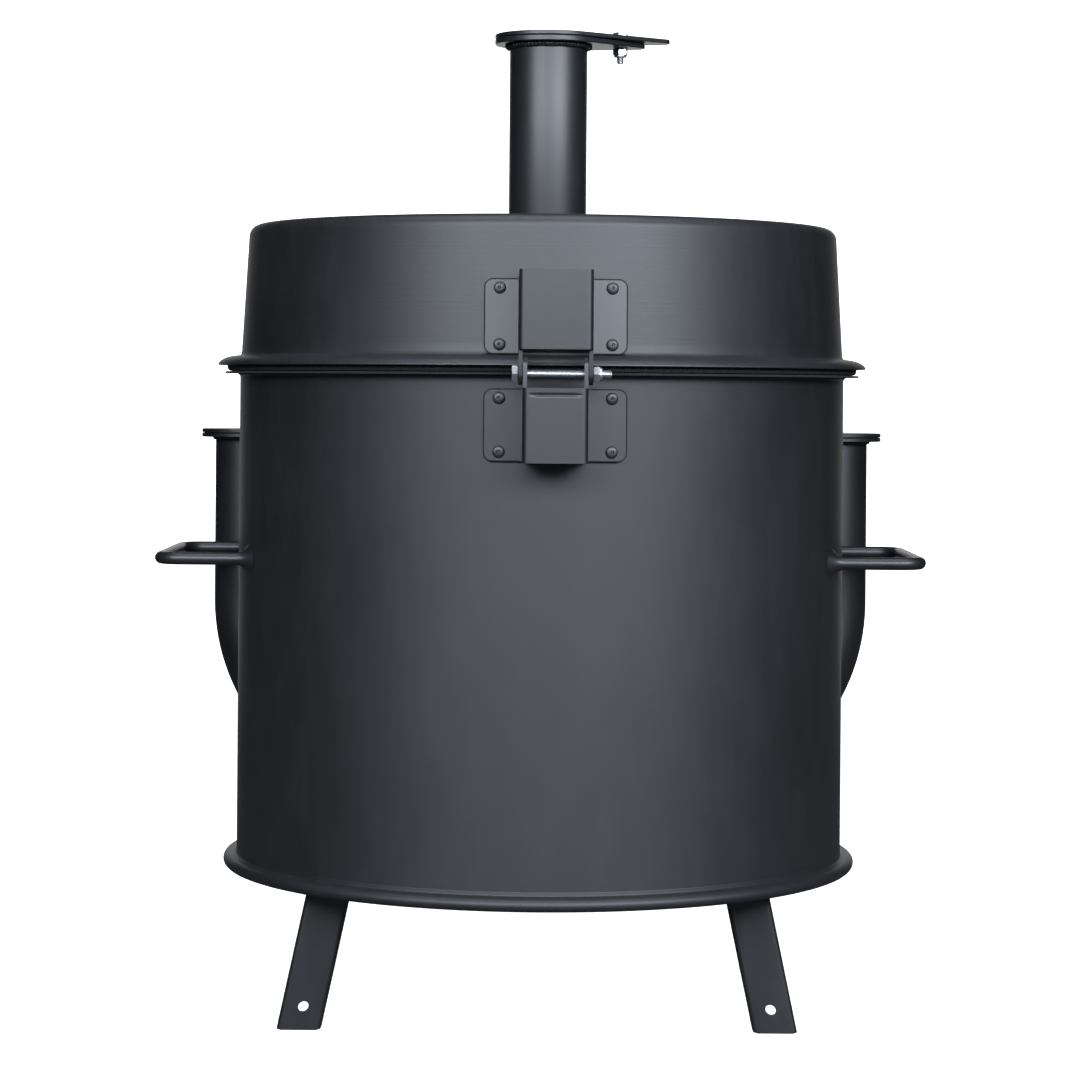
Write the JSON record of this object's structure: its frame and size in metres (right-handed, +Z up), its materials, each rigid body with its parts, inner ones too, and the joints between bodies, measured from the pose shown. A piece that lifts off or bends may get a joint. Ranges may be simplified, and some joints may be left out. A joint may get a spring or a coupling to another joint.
{
  "type": "vertical drum smoker",
  "caption": "Upright round drum smoker on splayed legs, with a hinged lid, a chimney and intakes with swivel dampers, side handles, and a fire basket and grate inside.",
  "frame": {"origin": "on the ground under the drum's axis, in the middle of the object's footprint", "axes": "+Z up along the drum's axis; the lid's handle and thermometer face -Y, the hinge faces +Y, and +X is the side of the left handle"},
  "size_m": [0.73, 0.704, 0.9303],
  "materials": {
    "powder_coat": "satin black powder coat",
    "zinc": "bright zinc plate",
    "grate_steel": "plated steel rod",
    "fire_steel": "bare steel darkened by heat",
    "seal": "black woven heat seal",
    "dial": "matt off-white with black graduations",
    "needle": "matt red",
    "lens": "clear"
  },
  "bodies": {
    "drum": {"drum_body": "powder_coat", "drum_floor": "powder_coat", "leg_rear_left": "powder_coat", "leg_rear_right": "powder_coat", "leg_front_left": "powder_coat", "leg_front_right": "powder_coat", "side_handle_left": "powder_coat", "side_handle_right": "powder_coat", "intake_pipe_left": "powder_coat", "intake_seat_left": "powder_coat", "intake_bolt_left": "zinc", "intake_nut_left": "zinc", "intake_pipe_right": "powder_coat", "intake_seat_right": "powder_coat", "intake_bolt_right": "zinc", "intake_nut_right": "zinc", "lid_seal": "seal", "hinge_bracket_lower": "powder_coat", "hinge_bolt": "zinc", "hinge_nut": "zinc", "hinge_rivet_lower_1": "powder_coat", "hinge_rivet_lower_2": "powder_coat", "hinge_rivet_lower_3": "powder_coat", "hinge_rivet_lower_4": "powder_coat", "grate_lug_1": "powder_coat", "grate_lug_2": "powder_coat", "grate_lug_3": "powder_coat", "grate_lug_4": "powder_coat"},
    "lid": {"lid_shell": "powder_coat", "chimney_pipe": "powder_coat", "chimney_seat": "powder_coat", "chimney_bolt": "zinc", "chimney_nut": "zinc", "hinge_bracket_upper": "powder_coat", "hinge_rivet_upper_1": "powder_coat", "hinge_rivet_upper_2": "powder_coat", "hinge_rivet_upper_3": "powder_coat", "hinge_rivet_upper_4": "powder_coat", "lid_handle": "powder_coat", "thermometer_case": "zinc", "thermometer_dial": "dial", "thermometer_lens": "lens", "thermometer_stem": "zinc", "thermometer_nut": "zinc"},
    "chimney_damper": {"chimney_damper": "powder_coat"},
    "intake_damper_left": {"intake_damper_left": "powder_coat"},
    "intake_damper_right": {"intake_damper_right": "powder_coat"},
    "needle": {"thermometer_needle": "needle"},
    "cooking_grate": {"cooking_grate": "grate_steel"},
    "ash_pan": {"ash_pan": "fire_steel"},
    "basket": {"charcoal_basket": "fire_steel", "fire_grate": "fire_steel", "basket_handle": "fire_steel"}
  },
  "joints": [
    {"name": "lid_hinge", "type": "hinge", "parent": "drum", "child": "lid", "pos_m": [-0.012, 0.334, 0.6055], "axis": [-1, 0, 0], "range_deg": [0, 98]},
    {"name": "chimney_damper_swivel", "type": "hinge", "parent": "lid", "child": "chimney_damper", "pos_m": [-0.0719, 0.07924, 0.923], "axis": [0, 0, 1], "continuous": true},
    {"name": "intake_damper_left_swivel", "type": "hinge", "parent": "drum", "child": "intake_damper_left", "pos_m": [0.26241, -0.23349, 0.547], "axis": [0, 0, -1], "range_deg": [0, 200]},
    {"name": "intake_damper_right_swivel", "type": "hinge", "parent": "drum", "child": "intake_damper_right", "pos_m": [-0.26241, -0.23349, 0.547], "axis": [0, 0, 1], "range_deg": [0, 200]},
    {"name": "thermometer_needle_turn", "type": "hinge", "parent": "lid", "child": "needle", "pos_m": [0, -0.29187, 0.69429], "axis": [0, 0.9983, -0.0576], "range_deg": [0, 260]},
    {"name": "cooking_grate_lift", "type": "slide", "parent": "drum", "child": "cooking_grate", "axis": [0, 0, 1], "range_m": [0, 0.06]},
    {"name": "ash_pan_lift", "type": "slide", "parent": "drum", "child": "ash_pan", "axis": [0, 0, 1], "range_m": [0, 0.05]},
    {"name": "basket_lift", "type": "slide", "parent": "ash_pan", "child": "basket", "axis": [0, 0, 1], "range_m": [0, 0.05]}
  ]
}
